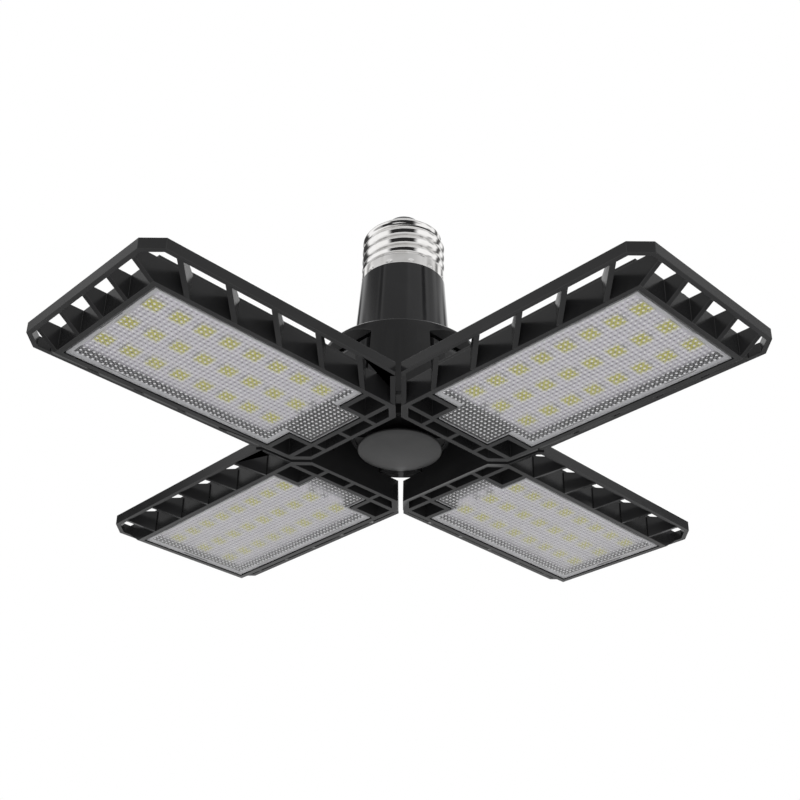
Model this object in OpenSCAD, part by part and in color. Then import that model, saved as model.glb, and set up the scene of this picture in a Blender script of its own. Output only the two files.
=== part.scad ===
// Folding four-panel garage light on a screw cap.
// Four LED panels lie level round a hub. Each one folds up on its own hinge pin, by up to 90 degrees.
// +Z points up to the lampholder. The origin is on the lamp's axis, in the plane where the metal
// screw shell meets the driver housing. Panel 0 points along +X, 1 along +Y, 2 along -X, 3 along -Y.
// Heights named _z are measured up from the panels' bezel face, which is the lamp's underside.

/* [Panel outline] */
// From the lamp's axis to the outer end of a panel
panel_reach = 110; // [104:0.5:125]
// From the lamp's axis to a panel's inner edge
panel_start = 18.9; // [18.6:0.1:19.3]
// Width of a panel over its rim
panel_w = 59.5; // [57:0.5:66]
// Height of a panel from its bezel face to its flat top
panel_h = 7.3; // [7:0.1:9]
// Gap between the corners of two neighbouring panels
corner_gap = 1.55; // [1.2:0.05:2]
// Cut across each outer corner of the rim
rim_corner = 4.8; // [3:0.2:6.4]
// Thickness of the rim bar
rim_t = 1.4; // [1:0.1:2]
// Height of the rim bar
rim_h = 3.2; // [2:0.1:4.5]

/* [Panel tray and truss] */
// From the rim's outer side to the tray's side wall
side_gap = 7.7; // [6:0.05:8.5]
// From the rim's outer end to the tray's end wall
end_gap = 7.2; // [6:0.1:9]
// Width of the bezel face round the lens
bezel_w = 1.55; // [1.4:0.05:2.4]
// Thickness of the plate over the tray
top_t = 1.8; // [1:0.1:2.2]
// Thickness of the webs that carry the rim
web_t = 1.4; // [1:0.1:2]
// Number of webs along each long side
side_web_n = 5; // [3:1:6]
// From the lamp's axis to the foot of the first side web
side_web_start = 35.5; // [34:0.5:38]
// Distance between the feet of the side webs
side_web_pitch = 14.4; // [13:0.1:15]
// How far a side web leans outward on its way to the rim
side_web_lean = 7.15; // [5:0.05:8]
// Number of webs at the outer end
end_web_n = 5; // [3:2:7]

/* [Panel hub end] */
// From the lamp's axis to the edge of the lens tongue
tongue_start = 25.3; // [25.2:0.1:27]
// Width of the lens tongue
tongue_w = 21.2; // [18:0.2:24]
// From the lamp's axis to the wide part of the lens
window_start = 33.45; // [33:0.05:35]
// Thickness of the bar along the panel's inner edge
inner_bar_t = 1.4; // [1.2:0.1:1.6]
// Length of the small pockets behind that bar
pocket_l = 3.5; // [3:0.1:3.8]
// Wall on the outer side of the notch pockets
notch_wall = 1.5; // [1.2:0.05:3]
// Wall between the mitred corners and the small pockets
mitre_wall = 2.7; // [2:0.1:3]
// Width of the cooling ribs on the panel's top
rib_t = 1.2; // [0.8:0.1:1.6]
// Height of the cooling ribs
rib_h = 2.2; // [1:0.1:3]
// Number of cooling ribs
rib_n = 7; // [3:2:9]

/* [Lens, board and LEDs] */
// How far the lens lies behind the bezel face
lens_recess = 0.1; // [0.1:0.05:0.8]
// Thickness of the lens
lens_t = 1.2; // [1:0.1:2]
// Gap round the lens
lens_gap = 0.5; // [0.1:0.05:0.6]
// Thickness of the seal behind the lens
seal_t = 0.6; // [0.4:0.05:0.8]
// Width of the ledge that carries the seal
ledge_w = 1.4; // [1.2:0.1:1.8]
// Gap between the seal and the edges of its ledge
seal_gap = 0.1; // [0.05:0.05:0.2]
// Thickness of the LED board
board_t = 1.2; // [0.8:0.1:1.4]
// Thickness of the heat pad behind the board
pad_t = 0.5; // [0.3:0.05:0.6]
// Gap at the ends of the LED board
board_gap = 0.25; // [0.1:0.05:0.5]
// Gap along the sides of the LED board
board_side_gap = 0.7; // [0.1:0.05:1]
// Length of an LED, along the panel
led_l = 5; // [2.8:0.1:5.4]
// Width of an LED
led_w = 5; // [2:0.1:5.4]
// Height of an LED
led_h = 0.8; // [0.5:0.05:0.9]
// Number of LEDs in a row
led_cols = 8; // [5:1:9]
// Number of rows
led_rows = 3; // [2:1:4]
// From the board's inner edge to the first LED's centre
led_margin_in = 5.1; // [3:0.1:6]
// From the last LED's centre to the board's outer edge
led_margin_out = 4.3; // [3:0.1:6]
// From the outer rows' centres to the board's side edges
led_margin_side = 7.6; // [4:0.05:9]

/* [Hinges] */
// From the lamp's axis to the hinge pins
hinge_u = 19.8; // [19.7:0.05:19.9]
// Height of the hinge pins above the panels' tops
hinge_rise = 18; // [17:0.1:19]
// Radius of the lug's round head
lug_r = 4.6; // [4.2:0.05:4.7]
// Width of the lug
lug_w = 18.8; // [16:0.1:19]
// Thickness of the gussets at the lug's foot
gusset_t = 1.6; // [1.2:0.1:2.4]
// Reach of the gussets along the panel's top
gusset_l = 6.5; // [4:0.1:8]
// Diameter of the hinge pins
pin_d = 2.2; // [1.8:0.1:2.3]
// Length of the hinge pins
pin_l = 25.2; // [24.4:0.1:25.4]
// Depth of the blind bores past the pins' ends
pin_end_gap = 0.2; // [0.1:0.05:0.4]
// Radial clearance of the pins in their bushes
pin_run_gap = 0.05; // [0.03:0.01:0.08]
// Radial clearance of the pins in the hub
pin_seat_gap = 0.02; // [0.01:0.01:0.04]
// Wall of the bushes
bush_wall = 0.8; // [0.6:0.05:1]
// Length of a bush
bush_l = 6; // [4:0.1:7]
// Radial clearance of the bushes in the lug
bush_seat_gap = 0.02; // [0.01:0.01:0.04]
// Gap between a hinge washer and the faces beside it
washer_gap = 0.1; // [0.05:0.01:0.15]
// Width of a hinge washer's ring
washer_ring = 1.2; // [0.8:0.1:1.4]

/* [Hub] */
// Outer radius of the hub at its top edge
hub_r_top = 24.4; // [24.2:0.1:25.5]
// Outer radius of the hub at its lower edge
hub_r_bottom = 25.9; // [25.4:0.1:26.2]
// Height of the hub
hub_h = 27; // [26:0.1:32]
// Gap between the panels' tops and the hub's lower edge
hub_gap = 0.6; // [0.6:0.05:1]
// Inner radius of the hub's outer ring
hub_ring_r = 20.3; // [19.8:0.1:20.8]
// Chamfer round the hub's top edge
hub_chamfer = 0.7; // [0.4:0.1:1.2]
// Chamfer round the hub's lower edge, clear of the panels as they fold
hub_foot_chamfer = 0.8; // [0.7:0.1:1.2]
// Width of the recess that a lug turns in
recess_w = 20.6; // [20.2:0.1:21.4]
// Room over a lug's head in its recess
recess_headroom = 0.9; // [0.8:0.1:1.4]
// From the hinge pins out to where a recess's ceiling begins to slope up
recess_flat = 2.3; // [1.5:0.1:3]
// Slope of that ceiling at the recess's mouth
recess_slope = 50; // [35:1:52]
// Outer radius of the tube round the driver
tube_r = 14.8; // [14.4:0.05:14.9]
// Wall of that tube
tube_t = 1.1; // [1:0.1:1.3]
// Thickness of the plate that carries the housing
deck_t = 2.4; // [2:0.1:3]
// Radius of the hole through that plate
deck_hole_r = 9.6; // [9.4:0.1:10]
// Thickness of the hub's floor
floor_t = 1.8; // [1.4:0.1:2.4]
// How far the floor lies behind the tube's lower edge
floor_inset = 0.6; // [0.4:0.1:1]
// Gap between the floor and the tube
floor_gap = 0.1; // [0.05:0.05:0.2]
// Height of the four thin ribs under the floor
floor_rib_h = 0.5; // [0.3:0.1:0.6]
// Width of those ribs
floor_rib_w = 0.8; // [0.6:0.1:1.2]
// Width of the clips that hold the driver board
clip_w = 3; // [2:0.1:4]
// Thickness of those clips
clip_t = 1.4; // [1:0.1:1.8]

/* [Round cap underneath] */
// Radius of the cap's disc
cap_r = 12.6; // [11:0.1:13.2]
// Thickness of the disc at its edge
cap_edge_t = 1; // [0.8:0.1:1.4]
// Height of the disc's edge above the bezel face
cap_z = 3.5; // [2.5:0.1:4.5]
// Depth of the disc's dome
cap_dome = 0.4; // [0.2:0.05:0.8]
// Radius of the cap's neck
cap_neck_r = 7; // [5:0.1:9]

/* [Driver housing] */
// Radius of the housing where it stands on the hub
housing_r_bottom = 15.2; // [14.2:0.1:16]
// Radius of the housing at the screw shell
housing_r_top = 13.3; // [12.4:0.1:13.8]
// Height of the housing
housing_h = 28.3; // [25:0.1:34]
// Wall of the housing
housing_wall = 2; // [1.8:0.1:2.4]
// Radius of the bosses that take the housing screws
boss_r = 2.2; // [2:0.1:2.4]
// Height of those bosses
boss_h = 8; // [6:0.1:10]
// Distance from the lamp's axis to the housing screws
boss_place_r = 11.2; // [11:0.05:11.6]

/* [Screw cap] */
// Radius of the smooth skirt of the screw shell
shell_r = 13.15; // [13:0.05:13.2]
// Height of the skirt
skirt_h = 4.1; // [3:0.1:5]
// Pitch of the thread
thread_pitch = 3.63; // [3.5:0.01:3.8]
// Number of thread grooves
thread_n = 4; // [3:1:5]
// Depth of the thread
thread_depth = 0.8; // [0.5:0.05:0.9]
// Thickness of the metal behind the thread
shell_t = 0.4; // [0.3:0.05:0.6]
// Height of the shell's tapered end
shell_cone_h = 2.7; // [2:0.1:5]
// How far the shell has drawn in where its thread ends
shell_shoulder = 1.95; // [1.6:0.05:2.4]
// Width of the brim round the hole in the shell's end
shell_brim = 1.2; // [1:0.1:2]
// Radius of the hole in the shell's end
shell_hole_r = 6.8; // [6.5:0.1:8]
// Height of the insulator that stands out of the shell
insulator_h = 3; // [1.2:0.1:3.4]
// Depth that the insulator reaches into the shell
insulator_plug_h = 2.4; // [1.6:0.1:3]
// Width of the insulator's face round the contact tip
insulator_face = 0.5; // [0.3:0.1:0.8]
// Radius of the contact tip
tip_r = 4.8; // [4:0.1:5.4]
// Height of the contact tip
tip_h = 1.4; // [1:0.1:2]
// Wall of the housing's neck inside the shell
neck_wall = 1.5; // [1.2:0.1:1.8]
// Gap between that neck and the shell
neck_gap = 0.05; // [0.03:0.01:0.1]

/* [Driver] */
// Width of the driver board
driver_w = 17.6; // [15:0.1:18.2]
// Thickness of the driver board
driver_t = 1.6; // [1.2:0.1:2]
// Gap between the driver board's top edge and the screw shell's lower edge
driver_top_gap = 3; // [2:0.1:6]
// Height of the clips that hold the driver board
clip_depth = 4; // [3:0.1:5]
// Gap between the board and its clips
clip_gap = 0.1; // [0.05:0.01:0.2]
// Height that round parts stand off the board
stand_off = 0.2; // [0.1:0.05:0.3]
// Radius of the insulated leads
lead_r = 0.6; // [0.5:0.05:0.8]

/* [Screws] */
// Diameter of the screws' shanks
screw_d = 2.5; // [2.2:0.1:2.8]
// Diameter of the screws' heads
screw_head_d = 4.4; // [4:0.1:4.8]
// Height of the screws' heads
screw_head_h = 1.6; // [1.2:0.1:2]
// Radial gap between a shank and its clearance hole
screw_gap = 0.15; // [0.1:0.05:0.3]
// How much wider than the shank a pilot hole is
pilot_gap = 0.1; // [0.05:0.05:0.2]
// Gap between a screw's end and the end of its hole
screw_end_gap = 0.6; // [0.3:0.1:1]
// Thickness of the closed end of a housing boss
boss_cap_t = 1; // [0.8:0.1:1.6]

/* [Hidden] */
$fn = 96;

// A cut reaches this far past the faces that it opens
over = 1;
// Two joined shapes of one piece overlap by this much
bite = 0.3;

// Panel
half_w = panel_w / 2;
tray_half = half_w - side_gap;
tray_end = panel_reach - end_gap;
rim_z = panel_h - rim_h;
mitre = corner_gap / sqrt(2);
tray_top_z = panel_h - top_t;
tongue_half = tongue_w / 2;
window_half = tray_half - bezel_w;
window_end = tray_end - bezel_w;
pocket_start = panel_start + inner_bar_t;
pocket_end = pocket_start + pocket_l;
ledge_z = lens_recess + lens_t + seal_t;
pad_z = tray_top_z - pad_t;
board_z = pad_z - board_t;
board_start = window_start + ledge_w + board_gap;
board_end = window_end - ledge_w - board_gap;
board_half = window_half - ledge_w - board_side_gap;
rib_start = window_start + bezel_w;

// Hinges
hinge_z = panel_h + hinge_rise;
pin_r = pin_d / 2;
bush_in_r = pin_r + pin_run_gap;
bush_out_r = bush_in_r + bush_wall;
washer_in_r = pin_r + pin_seat_gap;

// Hub, housing and screw cap, as heights above the bezel face
hub_z = panel_h + hub_gap;
hub_top_z = hub_z + hub_h;
recess_top_z = hinge_z + lug_r + recess_headroom;
lug_face_r = (hub_r_top + hub_r_bottom) / 2;
deck_z = hub_top_z - deck_t;
floor_z = hub_z + floor_inset;
floor_top_z = floor_z + floor_t;
floor_r = tube_r - tube_t - floor_gap;
seat_z = hub_top_z + housing_h;
bezel_z = -seat_z;
thread_z = seat_z + skirt_h;
cone_z = thread_z + thread_n * thread_pitch;
last_root_z = cone_z - thread_pitch / 2;
cone_top_z = cone_z + shell_cone_h;
tip_z = cone_top_z + insulator_h;
root_r = shell_r - thread_depth;
shell_in_r = root_r - shell_t;
neck_r = shell_in_r - neck_gap;
neck_in_r = neck_r - neck_wall;

// Driver
driver_z = floor_top_z + screw_head_h + clip_gap;
driver_top_z = seat_z - driver_top_gap;
driver_face = driver_t / 2;
// Space between neighbouring parts
part_space = 2.4;
// Length of a lead's joint on the board
lead_joint = 2;
// Transformer: size over the core, leg, and gap between core and winding
core_w = 12.4;
core_d = 10.4;
core_h = 11.4;
core_leg = 2.4;
core_window = (core_w - 3 * core_leg) / 2;
coil_gap = 0.1;
core_z = floor_top_z + clip_depth + part_space;
// How far the winding stands out over the core's front and back
coil_overhang = 0.6;
// Storage and smoothing capacitors: radius, height
storage_r = 4;
storage_h = 12;
smoothing_r = 3;
smoothing_h = 8;
// Choke: radius and height
choke_r = 3.4;
choke_h = 8;
// Chip and rectifier: width, height and thickness
chip_size = [5, 4, 1.5];
rectifier_size = [6, 4.6, 2];
// Fuse resistor: radius and length
fuse_r = 1.7;
fuse_l = 7;

// ---------------------------------------------------------------- shared shapes

// Puts its children at the height of the bezel face
module at_bezel() {
    translate([0, 0, bezel_z]) children();
}

// Turns its children, drawn for panel 0, to panel i
module on_panel(i) {
    rotate([0, 0, 90 * i]) at_bezel() children();
}

// A round bar or bore along the panel's width, centred on the hinge pin
module across_hinge(r, length) {
    translate([hinge_u, 0, hinge_z]) rotate([90, 0, 0]) cylinder(r = r, h = length, center = true);
}

// Mirrors its children to the panel's other side, and keeps them
module both_sides() {
    children();
    mirror([0, 1, 0]) children();
}

// Puts its children on the four diagonals, at the distance r from the axis
module on_diagonals(r) {
    for (i = [0:3]) rotate([0, 0, 45 + 90 * i]) translate([r, 0, 0]) children();
}

// Points of a half outline, joined to their mirror images on the panel's other side
function mirrored(half) = concat(half, [for (i = [len(half) - 1:-1:0]) [half[i][0], -half[i][1]]]);

// A screw along +Z: its head's bearing face is at the origin and its shank goes up
module screw_up(length) {
    cylinder(d = screw_d, h = length);
    translate([0, 0, -screw_head_h]) cylinder(d = screw_head_d, h = screw_head_h);
}

// ---------------------------------------------------------------- panel outlines

// Outer outline of the rim and of the two mitred corners at the hub
function rim_outline() = mirrored([
    [panel_start, panel_start - mitre],
    [half_w + mitre, half_w],
    [panel_reach - rim_corner, half_w],
    [panel_reach, half_w - rim_corner]
]);

// Opening inside the rim. It follows the mitred corners at one web's thickness
function rim_opening() = let (
    inside = half_w - rim_t,
    lead = mitre + web_t * sqrt(2),
    corner = rim_corner - rim_t * (2 - sqrt(2))
) mirrored([
    [tray_half + lead, tray_half],
    [inside + lead, inside],
    [panel_reach - rim_t - corner, inside],
    [panel_reach - rim_t, inside - corner]
]);

// Outline of the tray
function tray_outline() = mirrored([
    [panel_start, panel_start - mitre],
    [tray_half + mitre, tray_half],
    [tray_end, tray_half]
]);

// Outline of the lens opening, drawn in by an even distance
function window_outline(inset) = mirrored([
    [tongue_start + inset, tongue_half - inset],
    [window_start + inset, tongue_half - inset],
    [window_start + inset, window_half - inset],
    [window_end - inset, window_half - inset]
]);

// ---------------------------------------------------------------- panel

// An upright web from a point on the tray to a point on the rim. Its lower edge climbs from the
// bezel face to the rim bar, and both of its ends bite into what they meet
module web(from, to) {
    run = to - from;
    span = norm(run);
    translate([from[0], from[1], 0]) rotate([90, 0, atan2(run[1], run[0])])
        linear_extrude(web_t, center = true)
            polygon([
                [-bite, 0],
                [0, 0],
                [span, rim_z],
                [span + bite, rim_z],
                [span + bite, panel_h],
                [-bite, panel_h]
            ]);
}

module side_webs() {
    climb = half_w - rim_t - tray_half;
    for (k = [0:side_web_n - 1]) {
        foot = side_web_start + k * side_web_pitch;
        web([foot, tray_half], [foot + side_web_lean, tray_half + climb]);
    }
}

// The web along the mitred corner, with its outer face in the mitre plane
module corner_web() {
    inward = web_t / sqrt(8);
    climb = half_w - rim_t - tray_half;
    foot = [tray_half + mitre + inward, tray_half - inward];
    web(foot, foot + [climb, climb]);
}

module end_webs() {
    place = tray_half - web_t / 2;
    for (k = [0:end_web_n - 1]) {
        v = -place + 2 * place * k / (end_web_n - 1);
        web([tray_end, v], [panel_reach - rim_t, v]);
    }
}

// The small pockets between the inner bar and the lens, on one side of the panel
module hub_end_pockets() {
    split = (tray_half - web_t / 2) / 2;
    corner = mitre + mitre_wall;
    translate([0, 0, -over]) linear_extrude(tray_top_z + over) {
        translate([pocket_start, web_t / 2]) square([pocket_l, split - web_t]);
        polygon([
            [pocket_start, split + web_t / 2],
            [pocket_end, split + web_t / 2],
            [pocket_end, pocket_end - corner],
            [pocket_start, pocket_start - corner]
        ]);
        translate([pocket_end + bezel_w, tongue_half + bezel_w])
            square([
                window_start - 2 * bezel_w - pocket_end,
                tray_half - notch_wall - tongue_half - bezel_w
            ]);
    }
}

// The lug that stands on the panel's top and turns in the hub's recess. Its outer face is turned
// round, flush with the hub
module lug() {
    foot_z = panel_h - bite;
    corner_u = sqrt(pow(lug_face_r, 2) - pow(lug_w / 2, 2));
    intersection() {
        union() {
            across_hinge(lug_r, lug_w);
            translate([panel_start, -lug_w / 2, foot_z])
                cube([hinge_u + lug_r - panel_start, lug_w, hinge_z - foot_z]);
        }
        cylinder(r = lug_face_r, h = hinge_z + lug_r + over);
    }
    for (side = [-1, 1])
        translate([corner_u - bite, side * (lug_w - gusset_t) / 2, panel_h - bite])
            rotate([90, 0, 0]) linear_extrude(gusset_t, center = true)
                polygon([[0, 0], [gusset_l, 0], [0, gusset_l]]);
}

module cooling_ribs() {
    place = window_half - rib_t / 2;
    for (k = [0:rib_n - 1])
        translate([rib_start, -place + 2 * place * k / (rib_n - 1) - rib_t / 2, panel_h - bite])
            cube([window_end - rib_start, rib_t, rib_h + bite]);
}

module panel_frame(i) {
    color([0.16, 0.16, 0.16]) on_panel(i) difference() {
        union() {
            linear_extrude(panel_h) polygon(tray_outline());
            translate([0, 0, rim_z]) linear_extrude(rim_h) difference() {
                polygon(rim_outline());
                polygon(rim_opening());
            }
            both_sides() {
                side_webs();
                corner_web();
            }
            end_webs();
            lug();
            cooling_ribs();
        }
        translate([0, 0, -over]) linear_extrude(ledge_z + over) polygon(window_outline(0));
        translate([0, 0, ledge_z - bite]) linear_extrude(tray_top_z - ledge_z + bite)
            polygon(window_outline(ledge_w));
        both_sides() hub_end_pockets();
        across_hinge(bush_out_r + bush_seat_gap, lug_w + 2 * over);
    }
}

module heat_pad(i) {
    color([0.75, 0.75, 0.72]) on_panel(i)
        translate([board_start, -board_half, pad_z]) cube([board_end - board_start, 2 * board_half, pad_t]);
}

module led_board(i) {
    color([0.82, 0.8, 0.85]) on_panel(i)
        translate([board_start, -board_half, board_z]) cube([board_end - board_start, 2 * board_half, board_t]);
}

// The LEDs spread evenly between the board's margins
module leds(i) {
    first = board_start + led_margin_in;
    last = board_end - led_margin_out;
    side = board_half - led_margin_side;
    color([0.9, 0.85, 0.35]) on_panel(i)
        for (column = [0:led_cols - 1], row = [0:led_rows - 1])
            translate([
                first + (last - first) * column / (led_cols - 1),
                -side + 2 * side * row / (led_rows - 1),
                board_z - led_h / 2
            ]) cube([led_l, led_w, led_h], center = true);
}

module lens_seal(i) {
    color([0.3, 0.3, 0.3]) on_panel(i)
        translate([0, 0, ledge_z - seal_t]) linear_extrude(seal_t) difference() {
            polygon(window_outline(seal_gap));
            polygon(window_outline(ledge_w - seal_gap));
        }
}

module lens(i) {
    color([0.9, 0.92, 0.95, 0.5]) on_panel(i)
        translate([0, 0, lens_recess]) linear_extrude(lens_t) polygon(window_outline(lens_gap));
}

// Two bushes, one in each end of the lug's bore
module hinge_bushes(i) {
    color("goldenrod") on_panel(i) difference() {
        across_hinge(bush_out_r, lug_w);
        across_hinge(bush_out_r + over, lug_w - 2 * bush_l);
        across_hinge(bush_in_r, lug_w + 2 * over);
    }
}

// ---------------------------------------------------------------- hinge hardware in the hub

module hinge_pins() {
    color("silver") for (i = [0:3]) on_panel(i) across_hinge(pin_r, pin_l);
}

// Washers fill the space between each lug and the sides of its recess
module hinge_washers() {
    color("gray") for (i = [0:3]) on_panel(i) difference() {
        across_hinge(washer_in_r + washer_ring, recess_w - 2 * washer_gap);
        across_hinge(washer_in_r + washer_ring + over, lug_w + 2 * washer_gap);
        across_hinge(washer_in_r, recess_w);
    }
}

// ---------------------------------------------------------------- hub

// Cross-section: outer ring, recess ceiling, deck and driver tube
module hub_section() {
    ceiling_z = recess_top_z;
    polygon([
        [hub_ring_r, hub_z],
        [hub_r_bottom - hub_foot_chamfer, hub_z],
        [hub_r_bottom, hub_z + hub_foot_chamfer],
        [hub_r_top, hub_top_z - hub_chamfer],
        [hub_r_top - hub_chamfer, hub_top_z],
        [deck_hole_r, hub_top_z],
        [deck_hole_r, deck_z],
        [tube_r - tube_t, deck_z],
        [tube_r - tube_t, hub_z],
        [tube_r, hub_z],
        [tube_r, ceiling_z],
        [hub_ring_r, ceiling_z]
    ]);
}

// The round holes for the housing screws, through the deck
module deck_screw_holes() {
    on_diagonals(boss_place_r) translate([0, 0, deck_z - over])
        cylinder(d = screw_d + 2 * screw_gap, h = deck_t + 2 * over);
}

// The space that a lug turns in. Its ceiling slopes up to the mouth in the hub's outer face
module recess() {
    inner_u = tube_r + bite / 2;
    slope_u = hinge_u + recess_flat;
    outer_u = hub_r_bottom + over;
    translate([0, recess_w / 2, 0]) rotate([90, 0, 0]) linear_extrude(recess_w) polygon([
        [inner_u, hub_z - over],
        [outer_u, hub_z - over],
        [outer_u, recess_top_z + (outer_u - slope_u) * tan(recess_slope)],
        [slope_u, recess_top_z],
        [inner_u, recess_top_z]
    ]);
}

module hub_body() {
    color([0.18, 0.18, 0.18]) at_bezel() difference() {
        rotate_extrude() hub_section();
        for (i = [0:3]) rotate([0, 0, 90 * i]) {
            recess();
            across_hinge(pin_r + pin_seat_gap, pin_l + 2 * pin_end_gap);
        }
        deck_screw_holes();
    }
}

// The floor closes the tube round the driver. Two pairs of clips hold the driver board upright
module hub_floor() {
    slot = driver_t + 2 * clip_gap;
    rib_start_r = cap_neck_r + 1;
    color([0.12, 0.12, 0.12]) at_bezel() difference() {
        union() {
            translate([0, 0, floor_z]) cylinder(r = floor_r, h = floor_t);
            on_diagonals(rib_start_r) translate([0, -floor_rib_w / 2, floor_z - floor_rib_h])
                cube([floor_r - rib_start_r - bite, floor_rib_w, floor_rib_h + bite]);
            for (x = [-1, 1], y = [-1, 1])
                translate([x * (driver_w / 2 - clip_w), y * (slot + clip_t) / 2, floor_top_z + clip_depth / 2])
                    cube([clip_w, clip_t, clip_depth + bite], center = true);
        }
        translate([0, 0, floor_z - over]) cylinder(d = screw_d + 2 * screw_gap, h = floor_t + 2 * over);
    }
}

// Round cap: a shallow dome with a rounded edge, and a neck that reaches the hub's floor
module bottom_cap() {
    edge_r = cap_edge_t / 2;
    neck_z = cap_z + edge_r;
    pilot_z = cap_z + cap_edge_t;
    color([0.2, 0.2, 0.2]) at_bezel() difference() {
        union() {
            rotate_extrude() polygon(concat(
                [for (k = [0:8]) let (r = (cap_r - edge_r) * k / 8)
                    [r, cap_z - cap_dome * (1 - pow(r / (cap_r - edge_r), 2))]],
                [for (a = [-60:30:90]) [cap_r - edge_r + edge_r * cos(a), cap_z + edge_r + edge_r * sin(a)]],
                [[0, cap_z + cap_edge_t]]
            ));
            translate([0, 0, neck_z]) cylinder(r = cap_neck_r, h = floor_z - neck_z);
        }
        translate([0, 0, pilot_z]) cylinder(d = screw_d + pilot_gap, h = floor_z - pilot_z + over);
    }
}

// Screw from inside the hub, down through the floor into the cap's neck
module cap_screw() {
    length = floor_top_z - cap_z - cap_edge_t - screw_end_gap;
    color("silver") at_bezel() translate([0, 0, floor_top_z]) rotate([180, 0, 0]) screw_up(length);
}

// Screws from inside the hub, up through the deck into the housing's bosses
module hub_screws() {
    color("silver") at_bezel() on_diagonals(boss_place_r) translate([0, 0, deck_z])
        screw_up(deck_t + boss_h - boss_cap_t - screw_end_gap);
}

// ---------------------------------------------------------------- driver housing and screw cap

// Tapered shell, with a neck that carries the screw shell
module driver_housing() {
    color([0.05, 0.05, 0.05]) at_bezel() difference() {
        union() {
            rotate_extrude() polygon([
                [housing_r_bottom - housing_wall, hub_top_z],
                [housing_r_bottom, hub_top_z],
                [housing_r_top, seat_z],
                [neck_r, seat_z],
                [neck_r, last_root_z],
                [neck_in_r, last_root_z],
                [neck_in_r, seat_z - housing_wall],
                [housing_r_top - housing_wall, seat_z - 2 * housing_wall]
            ]);
            on_diagonals(boss_place_r) translate([0, 0, hub_top_z]) cylinder(r = boss_r, h = boss_h);
        }
        on_diagonals(boss_place_r) translate([0, 0, hub_top_z - over])
            cylinder(d = screw_d + pilot_gap, h = boss_h - boss_cap_t + over);
        translate([0, 0, seat_z + skirt_h + thread_pitch]) rotate([0, 90, 0])
            cylinder(r = lead_r + clip_gap, h = shell_r);
    }
}

// Thread profile: rounded rings, one for each turn. It ends in the last groove's root
function thread_points() = [
    for (step = [0:8 * thread_n - 4])
        [shell_r - thread_depth * (1 - cos(360 * step / 8)) / 2, thread_z + thread_pitch * step / 8]
];

module screw_shell() {
    brim_r = shell_hole_r + shell_brim;
    color([0.78, 0.76, 0.7]) at_bezel() rotate_extrude() polygon(concat(
        [[shell_in_r, seat_z], [shell_r, seat_z]],
        thread_points(),
        [
            [shell_r - shell_shoulder, cone_z],
            [brim_r, cone_top_z],
            [shell_hole_r, cone_top_z],
            [shell_hole_r, cone_top_z - shell_t],
            [brim_r - shell_t / 2, cone_top_z - shell_t],
            [shell_r - shell_shoulder - shell_t, cone_z - shell_t / 2],
            [shell_in_r, last_root_z]
        ]
    ));
}

// The insulator plugs the shell's end. The live lead passes through it
module cap_insulator() {
    plug_r = shell_hole_r - neck_gap;
    color([0.03, 0.03, 0.05]) at_bezel() difference() {
        rotate_extrude() polygon([
            [0, cone_top_z - insulator_plug_h],
            [plug_r, cone_top_z - insulator_plug_h],
            [plug_r, cone_top_z],
            [tip_r + insulator_face, tip_z],
            [0, tip_z]
        ]);
        translate([0, driver_face + lead_r, cone_z]) cylinder(r = lead_r + clip_gap, h = tip_z);
    }
}

module contact_tip() {
    color([0.8, 0.76, 0.6]) at_bezel() translate([0, 0, tip_z]) rotate_extrude() polygon([
        [0, 0],
        for (a = [0:15:90]) [tip_r * cos(a), tip_h * sin(a)]
    ]);
}

// ---------------------------------------------------------------- driver

module driver_board() {
    color([0.1, 0.35, 0.15]) at_bezel() translate([-driver_w / 2, -driver_face, driver_z])
        cube([driver_w, driver_t, driver_top_z - driver_z]);
}

// The core is a closed frame with a middle leg, on the board's +Y face
module transformer_core() {
    color([0.25, 0.25, 0.27]) at_bezel() translate([0, driver_face + core_d / 2, core_z + core_h / 2])
        difference() {
            cube([core_w, core_d, core_h], center = true);
            for (side = [-1, 1]) translate([side * (core_leg + core_window) / 2, 0, 0])
                cube([core_window, core_d + 2 * over, core_h - 2 * core_leg], center = true);
        }
}

// The winding goes round the middle leg
module transformer_coil() {
    wide = core_leg + 2 * core_window - 2 * coil_gap;
    color([0.8, 0.6, 0.2]) at_bezel() translate([0, driver_face + core_d / 2, core_z + core_h / 2])
        difference() {
            cube([wide, core_d + 2 * coil_overhang, core_h - 2 * core_leg - 2 * coil_gap], center = true);
            cube([core_leg + 2 * coil_gap, core_d + 2 * coil_gap, core_h], center = true);
            translate([0, -core_d, 0]) cube([core_w, core_d + 2 * stand_off, core_h], center = true);
        }
}

// Two capacitors stand along the board's -Y face
module capacitors() {
    storage_z = hub_top_z + part_space;
    color([0.15, 0.2, 0.35]) at_bezel() {
        translate([0, -driver_face - stand_off - storage_r, storage_z]) cylinder(r = storage_r, h = storage_h);
        translate([0, -driver_face - stand_off - smoothing_r, storage_z + storage_h + part_space / 2])
            cylinder(r = smoothing_r, h = smoothing_h);
    }
}

// Drum core with its winding, on the board's +Y face
module choke() {
    flange_t = 1;
    groove = 0.4;
    color([0.55, 0.3, 0.12]) at_bezel()
        translate([0, driver_face + stand_off + choke_r, hub_top_z + part_space]) {
            cylinder(r = choke_r - groove, h = choke_h);
            cylinder(r = choke_r, h = flange_t);
            translate([0, 0, choke_h - flange_t]) cylinder(r = choke_r, h = flange_t);
        }
}

// Control chip and bridge rectifier, flat on the board's -Y face
module driver_chips() {
    color([0.08, 0.08, 0.08]) at_bezel() {
        translate([-chip_size[0] / 2, -driver_face - chip_size[2], core_z])
            cube([chip_size[0], chip_size[2], chip_size[1]]);
        translate([-rectifier_size[0] / 2, -driver_face - rectifier_size[2], core_z + 2 * chip_size[1]])
            cube([rectifier_size[0], rectifier_size[2], rectifier_size[1]]);
    }
}

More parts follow.
